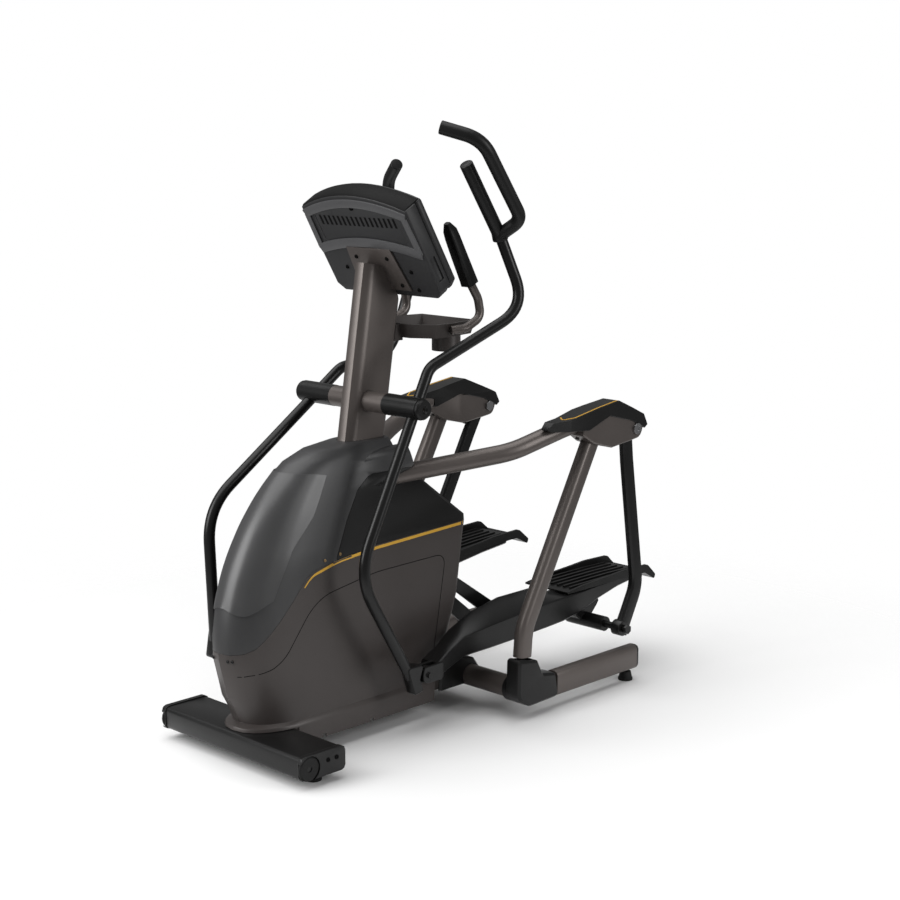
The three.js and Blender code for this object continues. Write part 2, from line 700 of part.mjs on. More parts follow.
const barPath = bent(
  [
    [207, -192, 180],
    [207, -387, 508, 180],
    [205, -113, 1049, 62],
    [316, 158, 1204, 100],
    [276, 96, 1399],
  ],
  100,
  5,
);
const hubSleeve = pin(...BAR_PIVOT, 109.2, 240, HUB_R + 0.6, 28).subtract(
  pin(...BAR_PIVOT, 100, 250, 12.3, 20),
);
const barClear = sweep(barPath, round(BAR_R + GAP));
const hubCapProfile = [[0, 0.4], [29, 0.4], [29, 8], [25, 13], [12, 13], [9, 9], [0, 9]];
const hubCap = turned(hubCapProfile, ...BAR_PIVOT, 240, 20)
  .subtract(pin(...BAR_PIVOT, 230, 248.6, 12.4, 20))
  .subtract(pin(...BAR_PIVOT, 248, 256, 5, 6));
const barTube = sweep(barPath, round(BAR_R));
const barBlock = plate(
  [[-218, 214, 8], [-158, 214, 14], [-170, 172, 12], [-156, 136, 10], [-190, 130, 12]],
  189,
  225,
  8,
  3,
);
const barTongue = plate([[-180, 200, 4], [-120, 202, 20], [-112, 160, 20], [-180, 154, 4]], 200, 214, 8);

const straightGrip = tube([[277, 92, 1402], [280, -47, 1603]], GRIP_R, 0, 14);
const loopGrip = tube(
  [[277, 90, 1405], [349, 101, 1451, 48], [358, -66, 1668, 90], [268, -133, 1700]],
  GRIP_R,
  42,
  14,
  5,
);
const collar = tube([[276.4, 95, 1392], [277, 88, 1414]], 22, 0, 16);

// The pedal arm climbs from its fork to the tread: y, z, height, middle x, width, lift of the inner edge.
const ARM = [
  [-96, 181, 44, 188, 70, 0],
  [-40, 200, 56, 182, 60, 0],
  [30, 222, 62, 170, 70, 6],
  [140, 228, 72, 162, 86, 26],
  [260, 234, 77, 160, 90, 36],
  [400, 240, 78, 159, 90, 30],
  [470, 243, 76, 159, 90, 2],
  [560, 249, 66, 149, 98, 0],
  [650, 261, 46, 134, 112, 0],
  [760, 268, 26, 120, 118, 0],
  [860, 268, 14, 112, 112, 0],
];
// The inner edge of the arm's top stands higher than its outer edge where the user's foot passes.
const armSection = (x, w, h, lift) => [
  [x + w / 2, -h / 2 + 5],
  [x + w / 2, h / 2 - 4],
  [x + w / 2 - 5, h / 2],
  [x - w / 2 + 12, h / 2 + lift],
  [x - w / 2 + 2, h / 2 + lift - 2],
  [x - w / 2, h / 2 + lift - 5],
  [x - w / 2, -h / 2 + 5],
  [x - w / 2 + 5, -h / 2],
  [x + w / 2 - 5, -h / 2],
];
const armBeam = loft(
  ARM.map(([y, z, h, x, w, lift]) => armSection(x, w, h, lift).map(([a, b]) => [a, y, z + b])),
);
const cheekOutline = [[-160, 204, 18], [-84, 206, 4], [-84, 156, 4], [-160, 156, 18]];
const cheek = (x0, x1) => plate(cheekOutline, x0, x1, 10, 1.5);
// The pivot tube hangs under the arm on a gusset; a split ring closes it and a rod carries the link.
const armPivot = plate([[540, 236], [572, 190], [600, 170], [628, 174], [690, 236]], 104, 172, 14, 4)
  .add(pin(...LINK_LOW, 104, 250, 23, 18))
  .add(pin(...LINK_LOW, 92, 105, 20, 18))
  .add(pin(...LINK_LOW, 249, 334, 11, 16))
  .add(pin(...LINK_LOW, 333, 341, 15, 6));
const arm = armBeam
  .add(armPivot)
  .add(cheek(186, 196))
  .add(cheek(218, 228))
  .add(block(188, 226, -96, -80, 160, 203))
  .add(pin(...BAR_LOW, 227, 234, 9, 6));

// The tread: a shallow tray with a raised rim, ribs across it and a sloping front wall.
const TREAD_X = [22, 198];
const treadSide = [
  [492, 291, 2], [560, 299, 12], [700, 306, 20], [775, 311, 20], [885, 308, 20], [928, 268, 8], [920, 255, 4],
  [872, 283, 10], [800, 285, 20], [492, 285, 1],
];
const treadHollow = plate(
  [[510, 291, 2], [740, 292, 20], [870, 291, 10], [905, 276, 6], [980, 300], [980, 400], [510, 400]],
  TREAD_X[0] + 9,
  TREAD_X[1] - 9,
  3,
);
let tread = plate(treadSide, ...TREAD_X, 6).subtract(treadHollow);
for (let i = 0; i < 6; i++) {
  const x = TREAD_X[0] + 22 + i * 25;
  tread = tread.add(plate([[530, 288], [530, 297], [740, 298], [850, 296], [850, 289]], x, x + 7, 2));
}

const linkPath = bent(
  [
    [SIDE_X, ...LINK_PIVOT],
    [SIDE_X, 634, 700, 160],
    [SIDE_X + 2, 690, 300, 120],
    [SIDE_X + 4, 612, 160],
  ],
  150,
  6,
);
const link = sweep(linkPath, (t) => boxy(25, 45 + 5 * t * t, 6, 2))
  .add(pin(...LINK_PIVOT, SIDE_X - 23, SIDE_X + 23, 30, 20))
  .add(pin(...LINK_LOW, SIDE_X - 14, SIDE_X + 18, 24, 20))
  .subtract(pin(...LINK_PIVOT, 200, 400, 11.2, 20))
  .subtract(pin(...LINK_LOW, 200, 400, 11.4, 20));

// A flat drive rocker with a bolted boss behind the housing.
const rocker = plate(
  [[48, 404, 24], [88, 430, 26], [110, 396, 20], [352, 200, 20], [345, 160, 20], [312, 168, 20]],
  64,
  76,
  10,
  2,
)
  .subtract(pin(...ROCKER_PIVOT, 60, 80, 9.3, 20))
  .add(pin(...ROCKER_LOW, 60, 103, 22, 20))
  .add(pin(...ROCKER_LOW, 102, 108, 9, 6));

// Each moving body: its pieces, and how it stands when its handlebar has turned by the given angle.
const armShift = (degrees) => {
  const a = THREE.MathUtils.degToRad(degrees * LINK_RATIO);
  const [y, z] = [LINK_LOW[0] - LINK_PIVOT[0], LINK_LOW[1] - LINK_PIVOT[1]];
  return [0, y * Math.cos(a) - z * Math.sin(a) - y, y * Math.sin(a) + z * Math.cos(a) - z];
};
const withBar = (solid, degrees) => swung(solid, BAR_PIVOT, degrees);
const withLink = (solid, degrees) => swung(solid, LINK_PIVOT, degrees * LINK_RATIO);
const withArm = (solid, degrees) => swung(solid, LINK_LOW, degrees * ARM_RATIO).translate(armShift(degrees));
const withRocker = (solid, degrees) => swung(solid, ROCKER_PIVOT, degrees * ROCKER_RATIO);

const rockerRest = swung(rocker, ROCKER_PIVOT, STRIDE_DEG * ROCKER_RATIO);
const barBody = barTube.subtract(pin(...BAR_PIVOT, 150, 250, 12.3, 20)).add(barBlock).add(barTongue);
const barGrips = straightGrip.add(loopGrip).add(collar).subtract(barClear);
const pieces = [
  ["hub_sleeve", hubSleeve.subtract(barClear), withBar, "black"],
  ["hub_cap", hubCap, withBar, "plastic"],
  ["handlebar", barBody, withBar, "black"],
  ["hand_grips", barGrips, withBar, "rubber"],
  ["suspension_link", link, withLink, "black"],
  ["pedal_arm", arm, withArm, "black"],
  ["pedal_tread", tread, withArm, "plastic"],
  ["drive_rocker", rockerRest, withRocker, "black"],
];
for (const [name, solid, placed, look] of pieces) {
  add(`${name}_left`, solid, look);
  add(`${name}_right`, mirrored(placed(solid, -STRIDE_DEG)), look);
}

export default frame;
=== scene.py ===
# %% [markdown]
# # An elliptical trainer
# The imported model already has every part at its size. This lesson gives it finishes, the smooth tubes and
# grips that hands and eyes notice, and the small trim: accent lines, bands, louvres, screws and plates.
# Everything is in metres: +X is the user's left, +Y the rear, +Z up.

import json
import math

import bpy
from mathutils import Matrix, Vector
from mathutils.bvhtree import BVHTree


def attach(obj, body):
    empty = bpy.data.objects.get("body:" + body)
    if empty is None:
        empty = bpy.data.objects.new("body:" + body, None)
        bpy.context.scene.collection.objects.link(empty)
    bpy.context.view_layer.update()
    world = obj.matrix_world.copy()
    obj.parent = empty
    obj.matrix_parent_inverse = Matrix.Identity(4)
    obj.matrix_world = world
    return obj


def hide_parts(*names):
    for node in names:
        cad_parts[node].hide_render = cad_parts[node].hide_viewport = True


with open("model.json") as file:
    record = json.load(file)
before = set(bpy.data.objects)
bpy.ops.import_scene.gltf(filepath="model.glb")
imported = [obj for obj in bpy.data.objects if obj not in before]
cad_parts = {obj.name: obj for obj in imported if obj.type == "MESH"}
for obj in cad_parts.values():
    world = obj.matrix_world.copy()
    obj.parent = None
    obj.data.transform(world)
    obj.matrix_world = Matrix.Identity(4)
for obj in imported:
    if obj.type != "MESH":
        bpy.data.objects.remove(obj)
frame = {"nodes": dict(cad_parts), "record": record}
nodes = frame["nodes"]
bpy.context.view_layer.update()

# %% [markdown]
# ## Camera
# A long lens from the front left, a little above the machine, keeps the uprights nearly parallel.
# The camera's place and its two angles fix the view; it has no roll, shift or depth of field.

# %% Camera
CAMERA_AT = Vector((3.600, -3.5994, 1.727))
AZIMUTH = math.radians(44.48)
ELEVATION = math.radians(10.735)
LENS = 70.33

back = Vector(
    (
        math.sin(AZIMUTH) * math.cos(ELEVATION),
        -math.cos(AZIMUTH) * math.cos(ELEVATION),
        math.sin(ELEVATION),
    )
)
camera_data = bpy.data.cameras.new("camera")
camera_data.lens = LENS
camera = bpy.data.objects.new("camera", camera_data)
bpy.context.scene.collection.objects.link(camera)
camera.location = CAMERA_AT
camera.rotation_mode = "QUATERNION"
camera.rotation_quaternion = (-back).to_track_quat("-Z", "Y")
bpy.context.scene.camera = camera
print("camera", [round(c, 2) for c in camera.location])

# %% [markdown]
# ## Finishes
# Every finish starts from the same ideas: the colour drifts a little over the surface, the gloss varies
# where it has been handled, and a fine bump gives powder coat, moulded grain or rubber its texture.
# They differ in scale and strength, so one helper makes them all. A Bevel node softens the edges of castings;
# round tubes have no edges to soften, so their finishes go without it.


# %% A finish
EDGE_ROUNDING = 0.0012
DRIFT = 0.12
BUMP_DEPTH = 0.0006


def finish(
    name, colour, rough, metal=0.0, grain=900.0, bump=0.1, shine=0.5, coat=0.0, rounding=EDGE_ROUNDING
):
    """A material: colour drift, gloss variation and a fine bump over edges that read as slightly rounded."""
    material = bpy.data.materials.new(name)
    material.use_nodes = True
    tree = material.node_tree
    shader = tree.nodes["Principled BSDF"]
    shader.inputs["Metallic"].default_value = metal
    shader.inputs["Specular IOR Level"].default_value = shine
    shader.inputs["Coat Weight"].default_value = coat
    shader.inputs["Coat Roughness"].default_value = 0.08
    place = tree.nodes.new("ShaderNodeTexCoord")

    cloud = tree.nodes.new("ShaderNodeTexNoise")
    cloud.inputs["Scale"].default_value = 7.0
    cloud.inputs["Detail"].default_value = 5.0
    tree.links.new(place.outputs["Object"], cloud.inputs["Vector"])
    tint = tree.nodes.new("ShaderNodeMix")
    tint.data_type = "RGBA"
    tint.inputs["A"].default_value = (*[c * (1 - DRIFT) for c in colour], 1)
    tint.inputs["B"].default_value = (*[min(1, c * (1 + DRIFT)) for c in colour], 1)
    tree.links.new(cloud.outputs["Fac"], tint.inputs["Factor"])
    tree.links.new(tint.outputs["Result"], shader.inputs["Base Color"])

    gloss = tree.nodes.new("ShaderNodeMapRange")
    gloss.inputs["To Min"].default_value = max(0.03, rough - 0.05)
    gloss.inputs["To Max"].default_value = min(1.0, rough + 0.07)
    tree.links.new(cloud.outputs["Fac"], gloss.inputs["Value"])
    tree.links.new(gloss.outputs["Result"], shader.inputs["Roughness"])

    speck = tree.nodes.new("ShaderNodeTexNoise")
    speck.inputs["Scale"].default_value = grain
    speck.inputs["Detail"].default_value = 2.0
    tree.links.new(place.outputs["Object"], speck.inputs["Vector"])
    raised = tree.nodes.new("ShaderNodeBump")
    raised.inputs["Strength"].default_value = bump
    raised.inputs["Distance"].default_value = BUMP_DEPTH
    tree.links.new(speck.outputs["Fac"], raised.inputs["Height"])
    if rounding:
        edge = tree.nodes.new("ShaderNodeBevel")
        edge.samples = 4
        edge.inputs["Radius"].default_value = rounding
        tree.links.new(edge.outputs["Normal"], raised.inputs["Normal"])
    tree.links.new(raised.outputs["Normal"], shader.inputs["Normal"])
    return material


FINISH = {
    "frame_paint": finish("warm grey powder coat", (0.112, 0.097, 0.090), 0.36, 0.5, 1400, 0.08),
    "housing_plastic": finish("warm grey moulding", (0.049, 0.0415, 0.039), 0.40, 0.2, 1800, 0.08),
    "shroud_plastic": finish("charcoal moulding", (0.036, 0.036, 0.037), 0.40, 0.1, 1500, 0.05),
    "black_plastic": finish("black moulding", (0.006, 0.006, 0.006), 0.34, 0.0, 1600, 0.12, 0.30),
    "black_paint": finish("black powder coat", (0.006, 0.006, 0.006), 0.30, 0.0, 1500, 0.10, 0.32),
    "console_plastic": finish("dark grey moulding", (0.024, 0.024, 0.025), 0.45, 0.0, 1700, 0.15, 0.35),
    "screen": finish("screen window", (0.005, 0.006, 0.008), 0.10, 0.0, 300, 0.0, 0.5, 1.0),
    "grip_rubber": finish("grip rubber", (0.005, 0.005, 0.005), 0.42, 0.0, 1700, 0.06, 0.30, rounding=0),
    "foot_rubber": finish("foot rubber", (0.008, 0.008, 0.008), 0.65, 0.0, 900, 0.35, 0.25),
    "bolt_chrome": finish("bright bolt", (0.42, 0.42, 0.43), 0.20, 1.0, 600, 0.02),
    "drive_iron": finish("machined iron", (0.20, 0.20, 0.21), 0.38, 0.9, 500, 0.15),
}
SHIELD = finish("satin charcoal", (0.052, 0.052, 0.053), 0.34, 0.15, 1500, 0.02, 0.6)
GOLD = finish("gold accent", (0.66, 0.37, 0.04), 0.36, 0.2, 1200, 0.04)
BAND = finish("mid grey band", (0.085, 0.085, 0.088), 0.40, 0.1, 1600, 0.10)
BAR_PAINT = finish("black tube coat", (0.006, 0.006, 0.006), 0.30, 0.0, 1500, 0.05, 0.32, rounding=0)
TUBE_PAINT = finish("warm grey tube coat", (0.112, 0.097, 0.090), 0.36, 0.5, 1400, 0.05, rounding=0)
CAP = finish("matt black cap", (0.004, 0.004, 0.004), 0.55, 0.0, 1500, 0.08, 0.12)
GAP = finish("shadow gap", (0.003, 0.003, 0.003), 0.8, 0.0, 900, 0.1, 0.1)
print(len(FINISH), "slot finishes and 7 for tubes and trim")

# %% [markdown]
# ## Dress the frame
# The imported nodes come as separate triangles. A Weld modifier joins them and an Edge Split modifier keeps
# only the edges sharper than 32 degrees, so rounded walls shade smoothly and the nodes stay untouched.
# Castings and mouldings with generous radii also get a small Bevel before the split.

# %% Dress every node
SHARP = math.radians(32)
SOFTENED = {
    "corner_boss": 0.006,
    "base_tube": 0.003,
    "base_cap": 0.002,
    "console_shell": 0.002,
    "console_face": 0.003,
    "crossbar_cap": 0.004,
    "front_crossbar": 0.003,
    "suspension_link": 0.0015,
}
slot_of = {part["node"]: part["material_slot"] for part in frame["record"]["subparts"]}
for name, node in nodes.items():
    if "custom_normal" in node.data.attributes:
        node.data.attributes.remove(node.data.attributes["custom_normal"])
    node.data.shade_smooth()
    weld = node.modifiers.new("weld", "WELD")
    weld.merge_threshold = 0.00003
    split = node.modifiers.new("sharp edges", "EDGE_SPLIT")
    split.split_angle = SHARP
    softness = SOFTENED.get(name, SOFTENED.get(name.rsplit("_", 1)[0]))
    if softness:
        soft = node.modifiers.new("soft edges", "BEVEL")
        soft.width = softness
        soft.segments = 3
        soft.angle_limit = math.radians(24)
        soft.harden_normals = False
        node.modifiers.move(len(node.modifiers) - 1, 1)
    for slot in node.material_slots:
        slot.link = "OBJECT"
        slot.material = FINISH[slot_of[name]]
print(len(nodes), "nodes dressed")

# %% [markdown]
# ## Building helpers
# New pieces are made from points and faces. `build` makes the mesh, gives it a finish and lets it ride on a
# body.
# `path` rounds the corners of a line of points, and `sweep` carries an outline along it, like a tube bender.


# %% Helpers
def build(name, points, faces, look, body, matrix=None, slot=None, stands_for=()):
    """A smooth-shaded piece that rides on a body; matrix may mirror it."""
    mesh = bpy.data.meshes.new(name)
    mesh.from_pydata([tuple(p) for p in points], [], faces)
    if matrix is not None:
        mesh.transform(matrix)
        if matrix.determinant() < 0:
            mesh.flip_normals()
    mesh.shade_smooth()
    mesh.materials.append(look)
    piece = bpy.data.objects.new(name, mesh)
    bpy.context.scene.collection.objects.link(piece)
    split = piece.modifiers.new("sharp edges", "EDGE_SPLIT")
    split.split_angle = SHARP
    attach(piece, body)
    if stands_for:
        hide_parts(*stands_for)
    return piece


def path(points, corner=0.06, steps=8):
    """The line through the points with each corner rounded; a point's fourth number is its own corner."""
    line = [Vector(p[:3]) for p in points]
    out = [line[0]]
    for i in range(1, len(line) - 1):
        size = points[i][3] if len(points[i]) > 3 else corner
        a, b = line[i - 1] - line[i], line[i + 1] - line[i]
        half = a.angle(b) / 2
        cut = min(size / math.tan(half), 0.49 * a.length, 0.49 * b.length)
        start, end = line[i] + a.normalized() * cut, line[i] + b.normalized() * cut
        for s in range(steps + 1):
            t = s / steps
            out.append(start * (1 - t) ** 2 + line[i] * 2 * t * (1 - t) + end * t * t)
    out.append(line[-1])
    return out


def circle(radius, count=32):
    return [
        (radius * math.cos(2 * math.pi * i / count), radius * math.sin(2 * math.pi * i / count))
        for i in range(count)
    ]


def sweep(line, outline, across=(1, 0, 0)):
    """Points and faces of an outline carried along a line; it may be a function of the share travelled."""
    u = Vector(across)
    points, faces = [], []
    for i, p in enumerate(line):
        t = (line[min(i + 1, len(line) - 1)] - line[max(i - 1, 0)]).normalized()
        u = (u - t * u.dot(t)).normalized()
        v = t.cross(u)
        ring = outline(i / (len(line) - 1)) if callable(outline) else outline
        points += [p + u * a + v * b for a, b in ring]
    n = len(ring)
    for i in range(len(line) - 1):
        for j in range(n):
            a, b = i * n + j, i * n + (j + 1) % n
            faces.append((a, b, b + n, a + n))
    faces.append(tuple(range(n - 1, -1, -1)))
    faces.append(tuple(range(len(points) - n, len(points))))
    return points, faces


def domed(line, radius, edge=0.004, steps=4):
    """A line and a radius function for a round bar whose ends are rounded over."""
    start, end = line[0], line[-1]
    first, last = (line[1] - start).normalized(), (end - line[-2]).normalized()
    near = [start + first * edge * (1 - math.cos(math.pi / 2 * k / steps)) for k in range(steps)]
    far = [end - last * edge * (1 - math.cos(math.pi / 2 * k / steps)) for k in reversed(range(steps))]
    whole = near + [start + first * edge, *line[1:-1], end - last * edge] + far
    radii = [radius - edge + edge * math.sin(math.pi / 2 * k / steps) for k in range(steps)]
    radii = radii + [radius] * len(line) + radii[::-1]
    return whole, radii


def bar(line, radius, edge=0.004, count=32):
    """A round bar with rounded-over ends."""
    whole, radii = domed(line, radius, edge)
    last = len(whole) - 1
    return sweep(whole, lambda share: circle(radii[round(share * last)], count))


# %% [markdown]
# ## The linkage
# The left side stands at the rear end of its stride and the right side at the front end. Each moving piece is
# drawn once, for the left, and a matrix mirrors it and swings it about its pivot for the right.

# %% Linkage places
STRIDE = math.radians(28.5)
LINK_RATIO = 1.26
ARM_RATIO = -0.124
Y_SHIFT = -0.1104
BAR_PIVOT = Vector((0, -0.178 + Y_SHIFT, 0.945))
LINK_PIVOT = Vector((0, 0.623 + Y_SHIFT, 0.805))
LINK_LOW = Vector((0, 0.612 + Y_SHIFT, 0.177))
MIRROR = Matrix.Scale(-1, 4, (1, 0, 0))


def turn(pivot, angle):
    return Matrix.Translation(pivot) @ Matrix.Rotation(angle, 4, "X") @ Matrix.Translation(-pivot)


link_swing = turn(LINK_PIVOT, -STRIDE * LINK_RATIO)
arm_swing = Matrix.Translation(link_swing @ LINK_LOW - LINK_LOW) @ turn(LINK_LOW, -STRIDE * ARM_RATIO)
PLACES = {
    "left": {"frame": None, "bar": None, "link": None, "arm": None},
    "right": {
        "frame": MIRROR,
        "bar": MIRROR @ turn(BAR_PIVOT, -STRIDE),
        "link": MIRROR @ link_swing,
        "arm": MIRROR @ arm_swing,
    },
}


def rear(x, y, z, *corner):
    """A place in the drawing's own y, moved so that the machine's middle lies at y = 0."""
    return (x, y + Y_SHIFT, z, *corner)


print("link low end moves", [round(c, 3) for c in link_swing @ LINK_LOW - LINK_LOW])

# %% [markdown]
# ## Handlebars
# Each handlebar is one bent steel tube under black powder coat. A swept outline with 32 sides follows the
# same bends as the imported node, so it stays round in close views. Its lower end carries the flat knuckle that
# the pedal arm's fork takes, and it passes through the black hub.

# %% Handlebar tubes
BAR_R = 0.016
BAR_LINE = path(
    [
        rear(0.207, -0.192, 0.180),
        rear(0.207, -0.387, 0.508, 0.18),
        rear(0.205, -0.113, 1.049, 0.062),
        rear(0.316, 0.158, 1.204, 0.100),
        rear(0.276, 0.096, 1.399),
    ],
    0.1,
    12,
)


def rounded(points, corner, steps=4):
    """A flat outline with rounded corners."""
    closed = [(*p, 0.0) for p in points]
    out = []
    for i, here in enumerate(closed):
        out += path([closed[i - 1], (*here, corner), closed[(i + 1) % len(closed)]], corner, steps)[1:-1]
    return [(p.x, p.y) for p in out]


def plate(outline, x0, x1, edge=0.002):
    """A flat YZ shape between two x values, with its long edges chamfered."""
    centre = Vector((sum(p[0] for p in outline), sum(p[1] for p in outline))) / len(outline)
    rings = []
    for x, inset in ((x0, edge), (x0 + edge, 0), (x1 - edge, 0), (x1, edge)):
        ring = []
        for y, z in outline:
            away = Vector((y, z)) - centre
            away *= 1 - inset / max(away.length, inset)
            ring.append(Vector((x, centre[0] + away[0], centre[1] + away[1])))
        rings.append(ring)
    n = len(outline)
    points = [p for ring in rings for p in ring]
    faces = [
        (i * n + j, i * n + (j + 1) % n, (i + 1) * n + (j + 1) % n, (i + 1) * n + j)
        for i in range(3)
        for j in range(n)
    ]
    faces.append(tuple(range(n - 1, -1, -1)))
    faces.append(tuple(range(3 * n, 4 * n)))
    return points, faces


def joined(*solids):
    points, faces = [], []
    for some_points, some_faces in solids:
        faces += [tuple(i + len(points) for i in face) for face in some_faces]
        points += list(some_points)
    return points, faces


KNUCKLE = [(-0.218, 0.214), (-0.158, 0.214), (-0.170, 0.172), (-0.156, 0.136), (-0.190, 0.130)]
TONGUE = [(-0.180, 0.200), (-0.120, 0.202), (-0.112, 0.160), (-0.180, 0.154)]
knuckle = rounded([(y + Y_SHIFT, z) for y, z in KNUCKLE], 0.008)
tongue = rounded([(y + Y_SHIFT, z) for y, z in TONGUE], 0.012)
handlebar = joined(
    bar(BAR_LINE, BAR_R),
    plate(knuckle, 0.189, 0.225, 0.003),
    plate(tongue, 0.200, 0.214, 0.001),
)
for side, place in PLACES.items():
    build(
        f"handlebar_tube_{side}", *handlebar, BAR_PAINT, f"handlebar_{side}", place["bar"],
        "black_paint", [f"handlebar_{side}"],
    )
print("handlebar", round(sum((b - a).length for a, b in zip(BAR_LINE, BAR_LINE[1:])), 2), "m of tube")

# %% [markdown]
# ## Hand grips
# The upper end splits into a straight grip and a loop grip in thick soft rubber. Both start in a collar, a
# moulded ring with a small step. The rubber's ends are rounded over and the free end has a flat plug.

# %% Hand grips
GRIP_R = 0.0188
straight = bar([Vector(rear(0.277, 0.092, 1.402)), Vector(rear(0.280, -0.047, 1.603))], GRIP_R, 0.003)
loop = bar(
    path(
        [
            rear(0.277, 0.090, 1.405),
            rear(0.349, 0.101, 1.451, 0.048),
            rear(0.358, -0.066, 1.668, 0.090),
            rear(0.268, -0.133, 1.700),
        ],
        0.042,
        12,
    ),
    GRIP_R,
    0.003,
)
collar_line = [Vector(rear(0.2764, 0.095, 1.392)), Vector(rear(0.277, 0.088, 1.414))]
grips = joined(straight, loop, bar(collar_line, 0.0218, 0.002))
plug = bar([Vector(rear(0.280, -0.0445, 1.5994)), Vector(rear(0.28002, -0.0474, 1.6036))], 0.0135, 0.0008)
for side, place in PLACES.items():
    body = f"handlebar_{side}"
    build(
        f"grips_{side}", *grips, FINISH["grip_rubber"], body, place["bar"], "grip_rubber",
        [f"hand_grips_{side}"],
    )
    build(f"grip_plug_{side}", *plug, FINISH["black_plastic"], body, place["bar"], "black_plastic")
print("grips", 2 * GRIP_R * 1000, "mm across")

# %% [markdown]
# ## Bent frame tubes
# The boom tubes and the fixed grip tubes are round bars too. The boom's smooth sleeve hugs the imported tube
# and runs from inside the hood to inside the bracket. The fixed grip tubes are drawn again whole. A bright
# sensor plate lies along the user's side of each fixed grip, where the palm reads the pulse.

# %% Boom and grip tubes
BOOM_R = 0.0267
BOOM_LINE = path(
    [rear(0.062, -0.165, 0.731), rear(0.080, -0.140, 0.733), rear(0.258, 0.168, 0.783, 0.300),
     rear(0.304, 0.340, 0.836, 0.120), rear(0.304, 0.384, 0.841)],
    0.09,
    14,
)
FIXED_LINE = path(
    [rear(0.132, 0.0465, 1.1326), rear(0.150, 0.086, 1.136, 0.046), rear(0.150, 0.150, 1.164, 0.046),
     rear(0.150, 0.138, 1.218, 0.060), rear(0.150, 0.088, 1.290, 0.3), rear(0.150, 0.034, 1.388)],
    0.046,
    12,
)
SENSOR = [(0.1105, 1.290), (0.0985, 1.312), (0.083, 1.341), (0.069, 1.367)]
SENSOR_LINE = [Vector(rear(0.150, y, z)) for y, z in SENSOR]
sensor_outline = rounded([(-0.009, -0.001), (0.009, -0.001), (0.009, 0.0022), (-0.009, 0.0022)], 0.001)
for side, place in PLACES.items():
    build(
        f"boom_tube_{side}", *sweep(BOOM_LINE, circle(BOOM_R, 40)), TUBE_PAINT, "frame",
        place["frame"], "frame_paint",
    )
    build(
        f"fixed_tube_{side}", *sweep(FIXED_LINE, circle(0.0125, 32)), TUBE_PAINT, "frame",
        place["frame"], "frame_paint", [f"fixed_grip_tube_{side}"],
    )
    build(
        f"sensor_plate_{side}", *sweep(SENSOR_LINE, sensor_outline), FINISH["bolt_chrome"], "frame",
        place["frame"], "bolt_chrome",
    )
print("boom tube", round(sum((b - a).length for a, b in zip(BOOM_LINE, BOOM_LINE[1:])), 2), "m")

# %% [markdown]
# ## Accent lines and the shield
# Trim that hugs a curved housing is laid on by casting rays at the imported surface. For each point of a line
# drawn in the side view, a ray from the side finds the surface, and the trim stands half a millimetre proud.


# %% Casting onto the frame
def surface(*names):
    """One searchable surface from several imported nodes."""
    points, faces = [], []
    for name in names:
        mesh = nodes[name].data
        faces += [tuple(i + len(points) for i in face.vertices) for face in mesh.polygons]
        points += [v.co.copy() for v in mesh.vertices]
    return BVHTree.FromPolygons(points, faces)


def ribbon(tree, line, width, side, lift=0.0006, sink=0.0015):
    """A closed strip on the side wall; line holds (y, z), width is a function of the share travelled."""
    points, faces = [], []
    for i, (y, z) in enumerate(line):
        before, after = Vector(line[max(i - 1, 0)]), Vector(line[min(i + 1, len(line) - 1)])
        along = (after - before).normalized()
        across = Vector((-along[1], along[0])) * width(i / (len(line) - 1)) / 2
        for sign in (-1, 1):
            at = Vector((y, z)) + across * sign
            hit = tree.ray_cast(Vector((side * 0.5, at[0], at[1])), Vector((-side, 0, 0)))[0]
            x = hit.x if hit else points[-1].x
            points += [Vector((x + side * lift, at[0], at[1])), Vector((x - side * sink, at[0], at[1]))]
    for i in range(len(line) - 1):
        a = 4 * i
        faces += [(a, a + 4, a + 6, a + 2), (a + 1, a + 3, a + 7, a + 5)]
        faces += [(a, a + 1, a + 5, a + 4), (a + 2, a + 6, a + 7, a + 3)]
    last = len(points) - 4
    faces += [(0, 2, 3, 1), (last, last + 1, last + 3, last + 2)]
    if side > 0:
        faces = [tuple(reversed(face)) for face in faces]
    return points, faces


def fine(points, corner=0.05, steps=8, gap=0.012):
    """A rounded side-view line with points no further apart than gap."""
    line = path([(0, *p) for p in points], corner, steps)
    out = [line[0]]
    for a, b in zip(line, line[1:]):
        count = max(1, math.ceil((b - a).length / gap))
        out += [a.lerp(b, (k + 1) / count) for k in range(count)]
    return [(p.y, p.z) for p in out]


ACCENT = fine(
    [(-0.600, 0.478), (-0.572, 0.506, 0.10), (-0.480, 0.5295, 0.30), (-0.338, 0.543, 0.6), (0.026, 0.5585)],
    0.05,
    12,
)
PANEL_GROOVE = fine(
    [(-0.800, 0.256), (-0.690, 0.268, 0.16), (-0.560, 0.440, 0.16), (-0.340, 0.474, 0.5), (-0.060, 0.479),
     (-0.110, 0.193), (-0.106, 0.078)],
    0.035,
)
for side, sign in (("left", 1), ("right", -1)):
    wall = surface(f"side_cover_{side}")
    build(
        f"accent_line_{side}",
        *ribbon(wall, ACCENT, lambda t: 0.003 + 0.0055 * min(1, 4 * t), sign),
        GOLD, "frame", None, "housing_plastic",
    )
    # The panel groove is a thin near-black strip: painted shade in the groove around the side panel.
    build(
        f"panel_groove_shade_{side}",
        *ribbon(wall, PANEL_GROOVE, lambda t: 0.0022, sign, 0.0002),
        GAP, "frame", None, "housing_plastic",
    )
print("accent line", len(ACCENT), "stations")

# %% [markdown]
# A lighter satin shield wraps the nose of the shroud. It is a grid in height and in angle about an upright
# axis: each ray comes in level towards the axis, which sits at the shield's rear edge for that height. The
# packed surface has flat facets, so the grid is eased a few times and stands a little prouder to stay clear of
# them.

